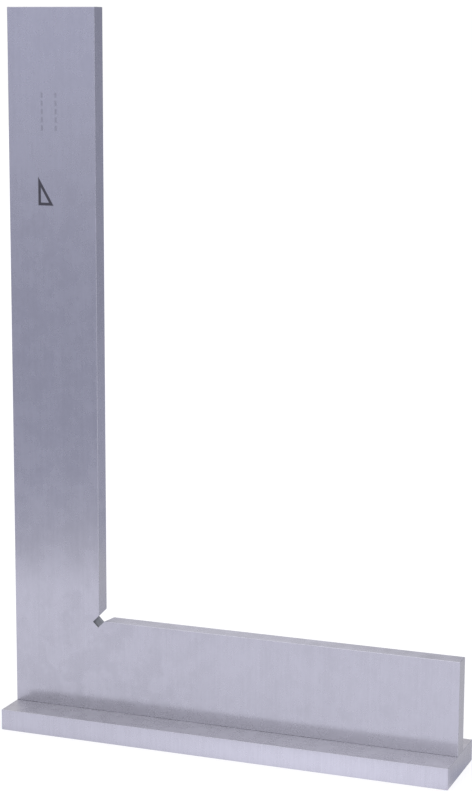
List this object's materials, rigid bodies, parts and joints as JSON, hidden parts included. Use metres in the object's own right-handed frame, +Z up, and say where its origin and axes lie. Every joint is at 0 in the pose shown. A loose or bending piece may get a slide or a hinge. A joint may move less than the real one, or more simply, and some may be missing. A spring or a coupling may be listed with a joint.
{
  "type": "machinist stop square",
  "caption": "Steel stop square: an L-shaped ground plate with a relieved inner corner on a wider flat stop rail, for marking out and checking right angles.",
  "frame": {"origin": "middle of the stop rail's underside", "axes": "+Z up along the blade, +X along the leg away from the blade, the plate's two broad faces look along -Y and +Y"},
  "size_m": [0.2, 0.038, 0.309],
  "materials": {
    "plate_steel": "fine ground, satin, grain along the blade",
    "rail_steel": "fine ground, satin, grain along the rail",
    "screw_steel": "black oxide, slightly oily",
    "dowel_steel": "hardened and ground, bright"
  },
  "bodies": {
    "root": {"blade_plate": "plate_steel", "stop_rail": "rail_steel", "countersunk_screw_1": "screw_steel", "countersunk_screw_2": "screw_steel", "countersunk_screw_3": "screw_steel", "countersunk_screw_4": "screw_steel", "dowel_pin_1": "dowel_steel", "dowel_pin_2": "dowel_steel"}
  },
  "joints": []
}
